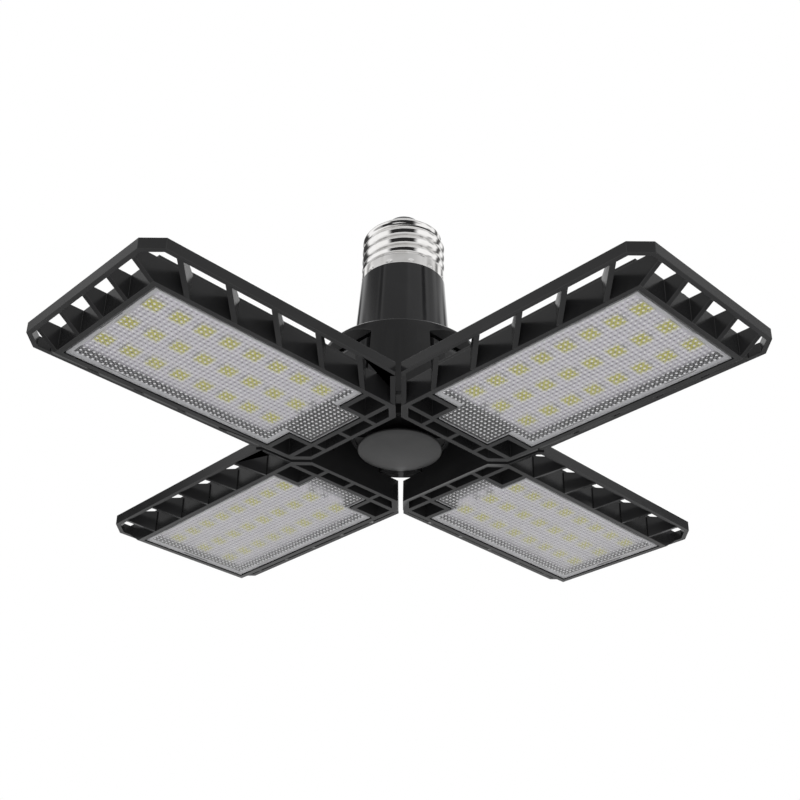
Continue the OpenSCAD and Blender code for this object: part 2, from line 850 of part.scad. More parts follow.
module fuse_resistor() {
    color([0.3, 0.5, 0.35]) at_bezel()
        translate([0, driver_face + stand_off + fuse_r, hub_top_z + 2 * part_space + choke_h + fuse_r])
            rotate([0, 90, 0]) cylinder(r = fuse_r, h = fuse_l, center = true);
}

// The live lead runs up to the contact tip. The neutral lead turns out to the screw shell
module cap_leads() {
    live_z = driver_top_z - lead_joint;
    turn_z = seat_z + skirt_h + thread_pitch;
    neutral_x = neck_in_r - 2 * lead_r - clip_gap;
    color([0.7, 0.1, 0.1]) at_bezel() {
        translate([0, driver_face + lead_r, live_z]) cylinder(r = lead_r, h = tip_z - live_z, $fn = 24);
        translate([neutral_x, 0, driver_top_z]) cylinder(r = lead_r, h = turn_z - driver_top_z, $fn = 24);
        translate([neutral_x, 0, turn_z]) sphere(r = lead_r, $fn = 24);
        translate([neutral_x, 0, turn_z]) rotate([0, 90, 0])
            cylinder(r = lead_r, h = shell_in_r - neutral_x - neck_gap, $fn = 24);
    }
}

contact_tip();
cap_insulator();
screw_shell();
driver_housing();
hub_body();
hub_floor();
bottom_cap();
cap_screw();
hub_screws();
hinge_pins();
hinge_washers();
driver_board();
transformer_core();
transformer_coil();
capacitors();
choke();
driver_chips();
fuse_resistor();
cap_leads();
panel_frame(0);  // panel_frame_right
panel_frame(1);  // panel_frame_back
panel_frame(2);  // panel_frame_left
panel_frame(3);  // panel_frame_front
heat_pad(0);  // heat_pad_right
heat_pad(1);  // heat_pad_back
heat_pad(2);  // heat_pad_left
heat_pad(3);  // heat_pad_front
led_board(0);  // led_board_right
led_board(1);  // led_board_back
led_board(2);  // led_board_left
led_board(3);  // led_board_front
leds(0);  // leds_right
leds(1);  // leds_back
leds(2);  // leds_left
leds(3);  // leds_front
lens_seal(0);  // lens_seal_right
lens_seal(1);  // lens_seal_back
lens_seal(2);  // lens_seal_left
lens_seal(3);  // lens_seal_front
lens(0);  // lens_right
lens(1);  // lens_back
lens(2);  // lens_left
lens(3);  // lens_front
hinge_bushes(0);  // hinge_bushes_right
hinge_bushes(1);  // hinge_bushes_back
hinge_bushes(2);  // hinge_bushes_left
hinge_bushes(3);  // hinge_bushes_front
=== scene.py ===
import math

import bmesh
import bpy
import numpy as np
from mathutils import Matrix, Vector


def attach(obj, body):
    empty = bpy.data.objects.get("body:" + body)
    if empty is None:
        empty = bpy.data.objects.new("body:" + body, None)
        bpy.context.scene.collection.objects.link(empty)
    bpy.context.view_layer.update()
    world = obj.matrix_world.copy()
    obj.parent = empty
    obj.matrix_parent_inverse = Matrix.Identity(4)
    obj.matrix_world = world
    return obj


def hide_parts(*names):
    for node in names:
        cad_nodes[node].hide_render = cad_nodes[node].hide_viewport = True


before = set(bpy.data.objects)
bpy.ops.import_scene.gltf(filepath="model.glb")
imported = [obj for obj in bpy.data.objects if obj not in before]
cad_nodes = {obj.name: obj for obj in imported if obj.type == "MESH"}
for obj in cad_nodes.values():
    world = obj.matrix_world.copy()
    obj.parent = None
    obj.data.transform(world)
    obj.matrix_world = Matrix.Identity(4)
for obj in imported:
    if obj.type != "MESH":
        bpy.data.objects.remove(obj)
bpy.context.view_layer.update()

# ---------------------------------------------------------------- camera
# The photograph is taken from below, between two panels, close to the lamp. These values come from
# a camera fitted to the four lens windows, and the lens shift is small.

seat_height = 0.0632                     # from the panels' lower face up to the screw shell's edge
view_turn = math.radians(-133.889)
view_rise = math.radians(-28.414)
view_roll = math.radians(1.117)
view_distance = 0.38091

level = Vector((math.cos(view_turn), math.sin(view_turn), 0))
back = level * math.cos(view_rise) + Vector((0, 0, math.sin(view_rise)))
side = back.cross(Vector((0, 0, -1))).normalized()
up = back.cross(side)
right = math.cos(view_roll) * side + math.sin(view_roll) * up
up = math.cos(view_roll) * up - math.sin(view_roll) * side


def in_scene(name, data):
    """An object that holds the data, linked into the scene."""
    made = bpy.data.objects.new(name, data)
    bpy.context.scene.collection.objects.link(made)
    return made


camera = in_scene("camera", bpy.data.cameras.new("camera"))
camera.data.sensor_width = 36
camera.data.lens = 58.08
camera.data.shift_x = 0.00063
camera.data.shift_y = 0.0774
camera.data.clip_start = 0.01
eye = Vector((0, 0, -seat_height)) + back * view_distance
camera.matrix_world = Matrix.Translation(eye) @ Matrix((right, up, back)).transposed().to_4x4()
bpy.context.scene.camera = camera

# ---------------------------------------------------------------- studio
# The lamp hangs over a plain pale floor, in the soft light of a white room and two broad lamps, a key lamp
# above and a weak one below. The backdrop is plain white where the camera, gloss or glass sees it.

room_light = 0.62
floor_drop = 0.62
floor_reach = 4


def new_node(tree, kind, **values):
    """Adds a shader node and sets its properties, or its sockets where the name is a socket's."""
    made = tree.nodes.new(kind)
    for name, value in values.items():
        if hasattr(made, name):
            setattr(made, name, value)
        else:
            made.inputs[name.replace("_", " ")].default_value = value
    return made


def direction(turn, rise):
    """The unit vector at so many degrees round the lamp's axis and up from the level."""
    a, e = math.radians(turn), math.radians(rise)
    return Vector((math.cos(a) * math.cos(e), math.sin(a) * math.cos(e), math.sin(e)))


def broad_lamp(name, turn, rise, distance, size, watts):
    """A square area lamp that looks at the object. Gloss and the camera don't see the lamp itself."""
    lamp = in_scene(name, bpy.data.lights.new(name, "AREA"))
    lamp.data.size = size
    lamp.data.energy = watts
    lamp.location = direction(turn, rise) * distance
    lamp.rotation_mode = "QUATERNION"
    lamp.rotation_quaternion = direction(turn, rise).to_track_quat("Z", "Y")
    lamp.visible_glossy = False
    lamp.visible_camera = False


broad_lamp("key_lamp", -95, 62, 1.2, 0.9, 7)
broad_lamp("low_lamp", -134, -58, 0.55, 0.5, 1.1)

room = bpy.data.worlds.new("white_room")
bpy.context.scene.world = room
room.use_nodes = True
tree = room.node_tree
tree.nodes.clear()
path = new_node(tree, "ShaderNodeLightPath")
direct = new_node(tree, "ShaderNodeMath", operation="MAXIMUM")
shown = new_node(tree, "ShaderNodeMath", operation="MAXIMUM")
ambient = new_node(tree, "ShaderNodeBackground", Strength=room_light)
backdrop = new_node(tree, "ShaderNodeBackground", Strength=1.0)
for background in (ambient, backdrop):
    background.inputs["Color"].default_value = (1, 1, 1, 1)
choice = new_node(tree, "ShaderNodeMixShader")
tree.links.new(path.outputs["Is Camera Ray"], direct.inputs[0])
tree.links.new(path.outputs["Is Glossy Ray"], direct.inputs[1])
tree.links.new(direct.outputs[0], shown.inputs[0])
tree.links.new(path.outputs["Is Transmission Ray"], shown.inputs[1])
tree.links.new(shown.outputs[0], choice.inputs[0])
tree.links.new(ambient.outputs[0], choice.inputs[1])
tree.links.new(backdrop.outputs[0], choice.inputs[2])
tree.links.new(choice.outputs[0], new_node(tree, "ShaderNodeOutputWorld").inputs["Surface"])
bpy.context.scene.view_settings.view_transform = "Standard"

floor_mesh = bpy.data.meshes.new("floor")
floor_mesh.from_pydata([(floor_reach * x, floor_reach * y, -floor_drop)
                        for x, y in ((-1, -1), (1, -1), (1, 1), (-1, 1))], [], [(0, 1, 2, 3)])
floor = in_scene("floor", floor_mesh)
floor_paint = bpy.data.materials.new("floor_paint")
floor_paint.use_nodes = True
shader = floor_paint.node_tree.nodes["Principled BSDF"]
shader.inputs["Base Color"].default_value = (0.86, 0.86, 0.86, 1)
shader.inputs["Roughness"].default_value = 0.9
shader.inputs["Specular IOR Level"].default_value = 0.1
floor_mesh.materials.append(floor_paint)


def grid_quads(index):
    """The squares of a grid of vertex numbers, as faces of four."""
    return np.stack([index[:-1, :-1], index[:-1, 1:], index[1:, 1:], index[1:, :-1]], -1).reshape(-1, 4)


def surface(name, points, closed_across=False):
    """A mesh from a grid of points (rows, columns, 3), with a face to each square. Its last row joins its
    first, and so does its last column where it is closed across."""
    index = np.arange(points[..., 0].size).reshape(points.shape[:2])
    index = np.vstack([index, index[:1]])
    if closed_across:
        index = np.hstack([index, index[:, :1]])
    mesh = bpy.data.meshes.new(name)
    mesh.from_pydata(points.reshape(-1, 3).tolist(), [], grid_quads(index).tolist())
    mesh.shade_smooth()
    return mesh


def smooth_step(t):
    """0 below 0, 1 above 1, and the cubic 3t2 - 2t3 between."""
    t = np.clip(t, 0, 1)
    return t * t * (3 - 2 * t)


# What gloss sees of the room: a white ring of wall with soft grey and dark areas. Each area has its turns
# from the camera's side, its rises, its brightness, and how wide its soft edges are. All but the brightness
# are in degrees
view_side = math.degrees(view_turn)
wall_distance = 0.88
wall_step = 1.5
widest_rise_edge = 4
gloss_areas = (
    (-200, 200, -46, -30, 0.40, 8),
    (-200, 200, 9, 13, 0.25, 3),
    (-50, 50, -8, 28, 0.70, 50),
    (-100, 100, 28, 80, 0.70, 30),
    (-40, 40, 30, 40, 0.52, 40),
    (68, 84, -8, 38, 0.45, 10),
    (-122, -104, -8, 38, 0.32, 12),
    (-158, -138, -8, 38, 0.08, 12),
    (-134, -108, -46, 33, 0.05, 10),
    (99, 112, -46, 38, 0.10, 8),
    (130, 146, -46, 38, 0.22, 10),
    (-120, -66, 39, 64, 0.24, 20),
    (-66, -57, 39, 64, 0.10, 5),
    (-52, 14, 39, 64, 0.36, 10),
    (14, 52, 39, 64, 0.50, 20),
    (53, 64, 39, 64, 0.0, 6),
    (73, 90, 39, 64, 0.50, 8),
    (104, 130, 39, 64, 0.50, 8),
    (160, 220, -46, -28, 0.45, 12),
    (-220, -160, -46, -28, 0.45, 12),
    (-36, 36, -46, -11, 0.025, 16),
)


def gloss_room(radius):
    """A ring of wall round the object, as points of a sphere at even turns and rises. The attribute shade is
    1, mixed towards the brightness of each area by smooth_step at each side of its box."""
    turns, rises = np.meshgrid(np.arange(-180, 180, wall_step), np.arange(-43, 84, wall_step), indexing="ij")
    a, e = np.radians(turns + view_side), np.radians(rises)
    points = radius * np.stack([np.cos(a) * np.cos(e), np.sin(a) * np.cos(e), np.sin(e)], -1)
    mesh = surface("gloss_room", points)
    shade = np.ones(turns.shape)
    for turn_a, turn_b, rise_a, rise_b, bright, edge in gloss_areas:
        inside = smooth_step((turns - turn_a) / edge + 0.5) * smooth_step((turn_b - turns) / edge + 0.5)
        edge = min(edge, widest_rise_edge)
        inside = inside * smooth_step((rises - rise_a) / edge + 0.5)
        inside = inside * smooth_step((rise_b - rises) / edge + 0.5)
        shade = shade + (bright - shade) * inside
    mesh.attributes.new("shade", "FLOAT", "POINT").data.foreach_set("value", shade.ravel().astype(np.float32))
    return mesh


walls = in_scene("gloss_room", gloss_room(wall_distance))
wall_glow = bpy.data.materials.new("gloss_room_wall")
wall_glow.use_nodes = True
tree = wall_glow.node_tree
tree.nodes.remove(tree.nodes["Principled BSDF"])
wall_shade = new_node(tree, "ShaderNodeAttribute", attribute_name="shade")
glow = new_node(tree, "ShaderNodeEmission")
tree.links.new(wall_shade.outputs["Fac"], glow.inputs["Strength"])
tree.links.new(glow.outputs[0], tree.nodes["Material Output"].inputs["Surface"])
walls.data.materials.append(wall_glow)
for kind in ("camera", "diffuse", "transmission", "shadow", "volume_scatter"):
    setattr(walls, "visible_" + kind, False)

# ---------------------------------------------------------------- screw shell
# The lampholder's end: a thin nickel-plated brass shell. Its thread is rolled, its skirt is smooth, and a
# row of punched dents over the skirt's edge locks it on the housing's neck.

shell_r = 0.01315
skirt_h = 0.0041
thread_pitch = 0.00363
thread_turns = 4
thread_depth = 0.00085
thread_power = 0.85                      # below 1, so the crests are narrower than the grooves
last_groove, last_groove_more = 0.0143, 0.55
crown_from = 0.0155
shell_end = 0.02132
hole_r = 0.0068
dent_n = 12
dent_depth = 0.00042
dent_width, dent_rise = 0.00042, 0.0004
dent_height = 0.0009
dent_turn = math.radians(-123.4)


def new_piece(name, mesh, body, slot, *stands_for):
    """Puts a finished mesh into the scene, on its CAD body. Its slot is not used."""
    piece = in_scene(name, mesh)
    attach(piece, body)
    if stands_for:
        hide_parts(*stands_for)
    return piece


def along(profile, step):
    """Points at even steps along a line of (radius, height) corners, with every corner kept."""
    out = [profile[:1]]
    for a, b in zip(profile[:-1], profile[1:]):
        n = max(1, int(np.ceil(np.hypot(*(b - a)) / step)))
        out.append(a + (b - a) * (np.arange(1, n + 1) / n)[:, None])
    return np.vstack(out)


def threaded_shell():
    """Revolved outline, with radius r(a, z) = outline - depth w ** power where the thread runs, and the wave
    w = (1 - cos 2 pi ((z - skirt) / pitch - a / 2 pi)) / 2. The depth grows by half at the last groove and
    fades at both ends of the thread. Round dents exp(-x2 - y2) press in over the skirt's edge."""
    top = skirt_h + thread_turns * thread_pitch
    # The crown over the thread and the wall's inner face, as (radius, height) in millimetres
    crown = np.array([[13.1, 16.3], [12.9, 17.0], [12.3, 17.8], [11.3, 18.6], [9.9, 19.9], [8.2, 21.1],
                      [7.9, 21.28]])
    inner = np.array([[6.8, 20.9], [7.4, 20.9], [9.6, 18.9], [10.6, 17.8], [11.5, 16.0], [11.8, 15.0],
                      [11.8, 0.0]])
    outer = along(np.vstack([[[shell_r - 0.0001, 0], [shell_r, 0.0001], [shell_r, crown_from]], 0.001 * crown,
                             [[0.0076, shell_end], [hole_r, shell_end]]]), 0.00016)
    inner = 0.001 * inner
    angle = np.linspace(0, 2 * np.pi, 192, endpoint=False)
    z = outer[:, 1][:, None]
    wave = (1 - np.cos(2 * np.pi * ((z - skirt_h) / thread_pitch - angle / (2 * np.pi)))) / 2
    fade = smooth_step((z - skirt_h + 0.0006) / 0.0018) * smooth_step((top + 0.0014 - z) / 0.0016)
    deeper = 1 + last_groove_more * smooth_step((z - last_groove) / 0.0015)
    r = outer[:, 0][:, None] - thread_depth * deeper * wave ** thread_power * fade
    apart = (angle - dent_turn + np.pi / dent_n) % (2 * np.pi / dent_n) - np.pi / dent_n
    r = r - dent_depth * np.exp(-(apart * shell_r / dent_width) ** 2 - ((z - dent_height) / dent_rise) ** 2)
    r = np.vstack([r, inner[:, 0][:, None] + 0 * angle])
    z = np.vstack([z + 0 * angle, inner[:, 1][:, None] + 0 * angle])
    points = np.stack([r * np.cos(angle), r * np.sin(angle), z], -1)
    return surface("screw_shell_rolled", points, closed_across=True)


def group(name, inputs, output, kind):
    """An empty shader node group with numbers as inputs, each with its default, and one output. Returns the
    group, its input and its output."""
    made = bpy.data.node_groups.new(name, "ShaderNodeTree")
    for label, value in inputs.items():
        made.interface.new_socket(label, in_out="INPUT", socket_type="NodeSocketFloat").default_value = value
    made.interface.new_socket(output, in_out="OUTPUT", socket_type=kind)
    return made, new_node(made, "NodeGroupInput"), new_node(made, "NodeGroupOutput")


# Fine grain: noise that roughens a moulded, coated or rolled face, as a bumped normal
fine_grain, entry, leave = group("fine_grain", {"Size": 0.001, "Stretch": 1.0, "Height": 0.00002},
                                 "Normal", "NodeSocketVector")
place = new_node(fine_grain, "ShaderNodeTexCoord")
squeeze = new_node(fine_grain, "ShaderNodeCombineXYZ", X=1.0, Y=1.0)
spread = new_node(fine_grain, "ShaderNodeVectorMath", operation="MULTIPLY")
invert = new_node(fine_grain, "ShaderNodeMath", operation="DIVIDE")
invert.inputs[0].default_value = 1.0
noise = new_node(fine_grain, "ShaderNodeTexNoise", Detail=4.0, Roughness=0.6)
bump = new_node(fine_grain, "ShaderNodeBump", Strength=1.0)
fine_grain.links.new(entry.outputs["Stretch"], squeeze.inputs["Z"])
fine_grain.links.new(place.outputs["Object"], spread.inputs[0])
fine_grain.links.new(squeeze.outputs[0], spread.inputs[1])
fine_grain.links.new(entry.outputs["Size"], invert.inputs[1])
fine_grain.links.new(spread.outputs[0], noise.inputs["Vector"])
fine_grain.links.new(invert.outputs[0], noise.inputs["Scale"])
fine_grain.links.new(noise.outputs[0], bump.inputs["Height"])
fine_grain.links.new(entry.outputs["Height"], bump.inputs["Distance"])
fine_grain.links.new(bump.outputs[0], leave.inputs["Normal"])

# Handling: soft blotches of dust and finger marks, from 0 clean to 1 marked
handling, entry, leave = group("handling", {"Size": 0.012, "Amount": 0.5}, "Marks", "NodeSocketFloat")
place = new_node(handling, "ShaderNodeTexCoord")
invert = new_node(handling, "ShaderNodeMath", operation="DIVIDE")
invert.inputs[0].default_value = 1.0
noise = new_node(handling, "ShaderNodeTexNoise", Detail=3.0, Roughness=0.55, Distortion=0.6)
band = new_node(handling, "ShaderNodeMapRange", interpolation_type="SMOOTHSTEP")
band.inputs["From Min"].default_value = 0.42
band.inputs["From Max"].default_value = 0.68
handling.links.new(place.outputs["Object"], noise.inputs["Vector"])
handling.links.new(entry.outputs["Size"], invert.inputs[1])
handling.links.new(invert.outputs[0], noise.inputs["Scale"])
handling.links.new(noise.outputs[0], band.inputs["Value"])
handling.links.new(entry.outputs["Amount"], band.inputs["To Max"])
handling.links.new(band.outputs[0], leave.inputs["Marks"])


def finish(name, clean, marked, rough, marked_rough, grain, marks, **sockets):
    """A material: its colour and roughness go from clean to marked by the handling mask, and fine grain
    bumps it. grain is its size, stretch and height, marks are the mask's size and amount, and the other
    sockets of the shader are plain numbers."""
    made = bpy.data.materials.new(name)
    made.use_nodes = True
    tree = made.node_tree
    shader = tree.nodes["Principled BSDF"]
    worn = new_node(tree, "ShaderNodeGroup", node_tree=handling)
    worn.inputs["Size"].default_value, worn.inputs["Amount"].default_value = marks
    fine = new_node(tree, "ShaderNodeGroup", node_tree=fine_grain)
    for label, value in zip(("Size", "Stretch", "Height"), grain):
        fine.inputs[label].default_value = value
    tone = new_node(tree, "ShaderNodeMix", data_type="RGBA")
    tone.inputs[6].default_value = (*clean, 1)
    tone.inputs[7].default_value = (*marked, 1)
    gloss = new_node(tree, "ShaderNodeMapRange")
    gloss.inputs["To Min"].default_value = rough
    gloss.inputs["To Max"].default_value = marked_rough
    tree.links.new(worn.outputs["Marks"], tone.inputs[0])
    tree.links.new(worn.outputs["Marks"], gloss.inputs["Value"])
    tree.links.new(tone.outputs[2], shader.inputs["Base Color"])
    tree.links.new(gloss.outputs[0], shader.inputs["Roughness"])
    tree.links.new(fine.outputs["Normal"], shader.inputs["Normal"])
    for label, value in sockets.items():
        shader.inputs[label.replace("_", " ")].default_value = value
    return made


def paint(piece, *finishes):
    """Gives a piece or a CAD node its materials."""
    if piece.data.materials:
        piece.data.materials.clear()
    for made in finishes:
        piece.data.materials.append(made)


nickel = finish("nickel_plate", (0.90, 0.89, 0.88), (0.76, 0.74, 0.71), 0.03, 0.09,
                grain=(0.0012, 14.0, 0.000004), marks=(0.006, 0.35), Metallic=1.0)
shell = new_piece("screw_shell_rolled", threaded_shell(), "hub", "shell_metal", "screw_shell")
paint(shell, nickel)

# ---------------------------------------------------------------- contact tip and insulator
# The shell's end is closed by a black glazed insulator. A tinned brass tip is pressed into it, with the
# grey film and fine scratches of a soldered contact.

paint(cad_nodes["contact_tip"], finish("tinned_brass", (0.88, 0.87, 0.84), (0.70, 0.67, 0.62), 0.16, 0.35,
                                       grain=(0.0004, 1.0, 0.00003), marks=(0.003, 0.8), Metallic=1.0))
paint(cad_nodes["cap_insulator"], finish("black_glaze", (0.006, 0.006, 0.008), (0.02, 0.02, 0.022), 0.08, 0.25,
                                         grain=(0.0020, 1.0, 0.00004), marks=(0.005, 0.6)))

# ---------------------------------------------------------------- driver housing
# A tapered tube of glossy black plastic, moulded in one piece with the neck inside the shell. Its face is
# polished, with the faint ripple and dust of a moulded part.

glossy_black = finish("glossy_black_plastic", (0.020, 0.020, 0.021), (0.024, 0.024, 0.025), 0.05, 0.12,
                      grain=(0.0090, 0.4, 0.00003), marks=(0.010, 0.4), Specular_IOR_Level=0.42)
paint(cad_nodes["driver_housing"], glossy_black)

# ---------------------------------------------------------------- hub and round cap
# The hub is cast aluminium under black paint, with softly rounded edges, painted lighter as a painted
# highlight. The round cap below it is moulded plastic, and its disc is slightly domed.

hub_round = 0.00022
cap_round = 0.0001
flat_angle = math.radians(0.6)
sharp_angle = math.radians(28)
smooth_angle = math.radians(12)


def rounded_copy(node, name, width):
    """A copy of a CAD node's mesh with its doubles merged, its flat faces joined and its sharp edges rounded.
    The new round faces carry 1 in the attribute edge, and all others 0."""
    shape = bmesh.new()
    shape.from_mesh(cad_nodes[node].data)
    edge = shape.faces.layers.float.new("edge")
    bmesh.ops.remove_doubles(shape, verts=shape.verts, dist=1e-6)
    bmesh.ops.dissolve_limit(shape, angle_limit=flat_angle, verts=shape.verts, edges=shape.edges)
    sharp = [e for e in shape.edges if len(e.link_faces) == 2 and e.calc_face_angle(0) > sharp_angle]
    made = bmesh.ops.bevel(shape, geom=sharp, offset=width, offset_type="OFFSET", segments=2, profile=0.5,
                           affect="EDGES", clamp_overlap=True)
    for face in made["faces"]:
        face[edge] = 1.0
    for face in shape.faces:
        face.smooth = True
    for e in shape.edges:
        e.smooth = len(e.link_faces) == 2 and e.calc_face_angle(0) < smooth_angle
    mesh = bpy.data.meshes.new(name)
    shape.to_mesh(mesh)
    shape.free()
    return mesh


def with_painted_edge_highlight(edge_highlight_tone, *looks, **more):
    """A finish of these looks whose rounded edges, by the attribute edge, are painted a lighter tone as a
    painted highlight.
    """
    made = finish(*looks, **more)
    tree = made.node_tree
    shader = tree.nodes["Principled BSDF"]
    base = shader.inputs["Base Color"].links[0].from_socket
    edge_highlight_mask = new_node(tree, "ShaderNodeAttribute", attribute_name="edge")
    rim = new_node(tree, "ShaderNodeMix", data_type="RGBA")
    rim.inputs[7].default_value = (*edge_highlight_tone, 1)
    tree.links.new(edge_highlight_mask.outputs["Fac"], rim.inputs[0])
    tree.links.new(base, rim.inputs[6])
    tree.links.new(rim.outputs[2], shader.inputs["Base Color"])
    return made


# Black coat: its rounded edges are painted lighter, a painted edge highlight
black_coat = with_painted_edge_highlight((0.028, 0.028, 0.0285), "black_coat", (0.0145, 0.0145, 0.015), (0.021, 0.021, 0.0215),
                   0.20, 0.30, grain=(0.0007, 1.0, 0.000008), marks=(0.016, 0.55), Specular_IOR_Level=0.28)
hub = new_piece("hub_cast", rounded_copy("hub_body", "hub_cast", hub_round), "hub", "black_metal", "hub_body")
paint(hub, black_coat)

# Black plastic: its rounded edges are painted lighter, a painted edge highlight
black_plastic = with_painted_edge_highlight((0.022, 0.022, 0.022), "black_moulded_plastic", (0.012, 0.012, 0.0125),
                      (0.020, 0.020, 0.020), 0.3, 0.42, grain=(0.0005, 1.0, 0.00002), marks=(0.010, 0.5))
cap = new_piece("round_cap", rounded_copy("bottom_cap", "round_cap", cap_round), "hub", "black_plastic",
                "bottom_cap")
paint(cap, black_plastic)
paint(cad_nodes["hub_floor"], black_plastic)

# ---------------------------------------------------------------- hinges and screws
# Each panel turns on a ground steel pin in two brass bushes, between steel washers. Steel screws hold the
# housing and the round cap from inside.

steel = finish("bright_steel", (0.56, 0.56, 0.57), (0.38, 0.37, 0.36), 0.24, 0.42,
               grain=(0.0003, 1.0, 0.00001), marks=(0.002, 0.7), Metallic=1.0)
brass = finish("bush_brass", (0.62, 0.43, 0.17), (0.42, 0.28, 0.11), 0.28, 0.45,
               grain=(0.0003, 1.0, 0.00001), marks=(0.002, 0.7), Metallic=1.0)
for node in ("cap_screw", "hub_screws", "hinge_pins", "hinge_washers"):
    paint(cad_nodes[node], steel)

# ---------------------------------------------------------------- driver
# The driver stands upright in the housing: a green laminate board with its transformer, choke, fuse
# resistor, chips and capacitors, and two leads up to the cap.

driver_finishes = {
    "driver_board": finish("green_laminate", (0.012, 0.10, 0.035), (0.03, 0.14, 0.05), 0.28, 0.40,
                           grain=(0.0008, 1.0, 0.00002), marks=(0.003, 0.7)),
    "transformer_core": finish("grey_ferrite", (0.05, 0.05, 0.055), (0.09, 0.09, 0.09), 0.55, 0.75,
                               grain=(0.0003, 1.0, 0.00005), marks=(0.002, 0.8)),
    "transformer_coil": finish("yellow_coil_tape", (0.68, 0.46, 0.06), (0.55, 0.34, 0.04), 0.25, 0.45,
                               grain=(0.0008, 3.0, 0.00003), marks=(0.004, 0.7)),
    "capacitors": finish("capacitor_sleeve", (0.012, 0.014, 0.045), (0.03, 0.03, 0.07), 0.2, 0.35,
                         grain=(0.0015, 0.3, 0.00002), marks=(0.004, 0.6)),
    "choke": finish("enamelled_copper", (0.50, 0.17, 0.045), (0.30, 0.10, 0.03), 0.25, 0.4,
                    grain=(0.0009, 9.0, 0.00008), marks=(0.002, 0.6), Metallic=0.8),
    "driver_chips": finish("chip_moulding", (0.012, 0.012, 0.012), (0.03, 0.03, 0.03), 0.45, 0.6,
                           grain=(0.0002, 1.0, 0.00002), marks=(0.001, 0.6)),
    "fuse_resistor": finish("green_resistor_glaze", (0.05, 0.20, 0.10), (0.10, 0.26, 0.15), 0.3, 0.5,
                            grain=(0.0006, 1.0, 0.00004), marks=(0.002, 0.6)),
    "cap_leads": finish("red_lead_sleeve", (0.42, 0.015, 0.012), (0.30, 0.02, 0.02), 0.4, 0.55,
                        grain=(0.0008, 1.0, 0.00002), marks=(0.003, 0.6)),
}
for node, made in driver_finishes.items():
    paint(cad_nodes[node], made)

# ---------------------------------------------------------------- panel frames
# Each panel is one black casting: a tray for the LED board, an open truss with its rim bar, and the lug
# that turns in the hub.

panels = ("right", "back", "left", "front")
frame_round = 0.00016
for panel in panels:
    name, node = "panel_casting_" + panel, "panel_frame_" + panel
    casting = new_piece(name, rounded_copy(node, name, frame_round), panel + "_panel", "black_metal", node)
    # The black coat's lighter rounded edges are a painted highlight
    paint(casting, black_coat)
    paint(cad_nodes["hinge_bushes_" + panel], brass)

# ---------------------------------------------------------------- heat pads and LED boards
# A grey silicone pad carries the heat of each LED board into its tray. The board is aluminium under a white
# solder mask, with copper tracks that stand up faintly under it.

panel_z = -seat_height
board_face = panel_z + 0.0038
board_from, board_to, board_half = 0.0351, 0.0996, 0.0184
led_columns, led_rows = 8, 3
led_from, led_to, led_side = board_from + 0.0051, board_to - 0.0043, board_half - 0.0076
track_h, track_half, track_gap = 0.00006, 0.0011, 0.0019     # the gap is from an LED's middle to its track
return_half, return_from, return_to = 0.0012, 0.0030, 0.0022
pad_h, pad_half, pad_v = 0.00035, 0.0012, 0.0027

pad_grey = finish("silicone_pad", (0.34, 0.35, 0.35), (0.25, 0.25, 0.25), 0.6, 0.8,
                  grain=(0.0004, 1.0, 0.00003), marks=(0.006, 0.6))
board_white = finish("white_solder_mask", (0.58, 0.555, 0.61), (0.50, 0.48, 0.53), 0.38, 0.5,
                     grain=(0.0008, 1.0, 0.00001), marks=(0.004, 0.5))
track_white = finish("mask_over_copper", (0.52, 0.50, 0.55), (0.45, 0.43, 0.48), 0.35, 0.5,
                     grain=(0.0008, 1.0, 0.00001), marks=(0.004, 0.5))
solder = finish("solder", (0.42, 0.42, 0.43), (0.28, 0.28, 0.28), 0.25, 0.4,
                grain=(0.0005, 1.0, 0.00003), marks=(0.001, 0.6), Metallic=1.0)


def on_panel(label, panel, make, slot, *stands_for):
    """A piece whose mesh is made for the right panel by make, and turned about the lamp's axis to its own."""
    name = label + "_" + panel
    mesh = make(name)
    mesh.transform(Matrix.Rotation(math.radians(90 * panels.index(panel)), 4, "Z"))
    mesh.update()
    return new_piece(name, mesh, panel + "_panel", slot, *stands_for)


box_corners = np.array([[x, y, z] for z in (0, 1) for y in (0, 1) for x in (0, 1)])
box_quads = np.array([[0, 2, 3, 1], [4, 5, 7, 6], [0, 1, 5, 4], [2, 6, 7, 3], [0, 4, 6, 2], [1, 3, 7, 5]])
led_u = np.linspace(led_from, led_to, led_columns)
led_v = np.linspace(-led_side, led_side, led_rows)


def board_fittings(name):
    """Tracks between neighbouring LEDs along each row, a return track between the rows with a short one
    across its end, and two solder pads near the hub. All are low boxes on the board's face, each given by
    its lowest and highest corner."""
    low, high, kinds = [], [], []

    def add(u0, u1, v0, v1, height, kind):
        low.append((u0, v0, board_face - height))
        high.append((u1, v1, board_face + 0.00005))
        kinds.append(kind)

    for v in led_v:
        for a, b in zip(led_u[:-1], led_u[1:]):
            add(a + track_gap, b - track_gap, v - track_half, v + track_half, track_h, 0)
    for v in (led_v[:-1] + led_v[1:]) / 2:
        add(board_from + return_from, board_to - return_to, v - return_half, v + return_half, track_h, 0)
        add(board_to - return_to - 0.0012, board_to - return_to, v - 0.0050, v - return_half, track_h, 0)
    for v in (-pad_v, pad_v):
        add(board_from + 0.0006, board_from + 0.0026, v - pad_half, v + pad_half, pad_h, 1)
    low, high = np.array(low)[:, None, :], np.array(high)[:, None, :]
    points = low + (high - low) * box_corners[None]
    faces = (np.arange(len(kinds)) * 8)[:, None, None] + box_quads[None]
    mesh = bpy.data.meshes.new(name)
    mesh.from_pydata(points.reshape(-1, 3).tolist(), [], faces.reshape(-1, 4).tolist())
    mesh.polygons.foreach_set("material_index", np.repeat(kinds, 6).astype(np.int32))
    return mesh


